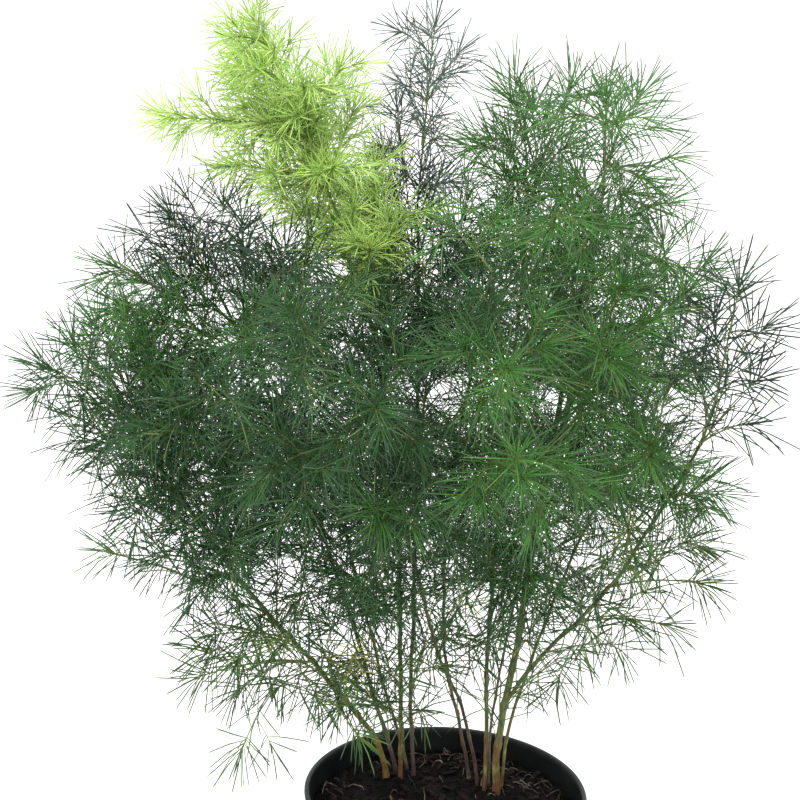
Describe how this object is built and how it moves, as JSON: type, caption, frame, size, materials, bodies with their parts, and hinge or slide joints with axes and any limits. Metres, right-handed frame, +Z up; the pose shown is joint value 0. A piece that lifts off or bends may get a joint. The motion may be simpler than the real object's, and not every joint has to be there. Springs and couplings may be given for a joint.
{
  "type": "potted ming fern",
  "caption": "Bushy potted ming fern: thin woody canes carrying feathery fronds of needle tufts, in a plain round black nursery pot filled with potting mix.",
  "frame": {"origin": "centre of the pot's underside, on the surface that it stands on", "axes": "+Z up along the pot's axis, -Y towards the viewer of the picture, +X to the viewer's right"},
  "size_m": [0.3837, 0.2916, 0.5557],
  "materials": {
    "pot_plastic": "satin black polypropylene, as moulded",
    "potting_mix": "loose dark potting mix of bark, peat and fibres, matt",
    "cane_bark": "thin smooth bark, olive green turning brown towards the foot",
    "needles_lime": "young leafy shoots, lime green, soft sheen",
    "needles_fresh": "grown leafy shoots, fresh mid green, soft sheen",
    "needles_dark": "old leafy shoots, dark green, soft sheen",
    "needles_bluegrey": "airy leafy shoots, blue-grey green, soft sheen",
    "needles_pale": "sparse lower shoots, yellowish green, soft sheen"
  },
  "bodies": {
    "root": {"pot": "pot_plastic", "potting_mix": "potting_mix", "cane_left_long": "cane_bark", "cane_left_crest": "cane_bark", "cane_lime": "cane_bark", "cane_grey": "cane_bark", "cane_back_left": "cane_bark", "cane_middle_left": "cane_bark", "cane_middle": "cane_bark", "cane_right_inner": "cane_bark", "cane_right_main": "cane_bark", "cane_right_back": "cane_bark", "cane_right_outer": "cane_bark", "frond_lime_plume": "needles_lime", "frond_grey_plume": "needles_bluegrey", "frond_fresh_crown_left": "needles_fresh", "frond_fresh_crown_right": "needles_fresh", "frond_front_star": "needles_fresh", "frond_middle_crown": "needles_fresh", "frond_outer_crown": "needles_fresh", "frond_outer_right_top": "needles_dark", "frond_outer_right_middle": "needles_dark", "frond_outer_right_low": "needles_dark", "frond_olive_right": "needles_fresh", "frond_pale_right_high": "needles_pale", "frond_pale_right_low": "needles_pale", "frond_pale_right_inner": "needles_pale", "frond_low_right": "needles_pale", "frond_bright_star_high": "needles_fresh", "frond_bright_star_low": "needles_fresh", "frond_front_right_high": "needles_fresh", "frond_front_right_low": "needles_fresh", "frond_left_crest_tip": "needles_dark", "frond_left_crest_inner": "needles_dark", "frond_left_crest_outer": "needles_fresh", "frond_wing_tip": "needles_dark", "frond_wing_upper": "needles_fresh", "frond_wing_lower": "needles_dark", "frond_flank_high": "needles_dark", "frond_flank_low": "needles_dark", "frond_flank_front": "needles_dark", "frond_flank_hanging": "needles_pale", "frond_sparse_high": "needles_pale", "frond_sparse_low": "needles_pale", "frond_sparse_front": "needles_pale", "frond_breast_high": "needles_dark", "frond_breast_middle": "needles_dark", "frond_breast_left": "needles_dark", "frond_breast_low": "needles_dark", "frond_breast_outer": "needles_dark", "frond_heart_high": "needles_dark", "frond_heart_middle": "needles_dark", "frond_heart_low": "needles_dark", "frond_heart_right": "needles_dark", "frond_shade_right": "needles_dark", "frond_back_right": "needles_dark", "frond_back_right_low": "needles_dark", "frond_back_left": "needles_dark", "frond_back_left_low": "needles_dark", "frond_back_middle": "needles_dark"}
  },
  "joints": []
}
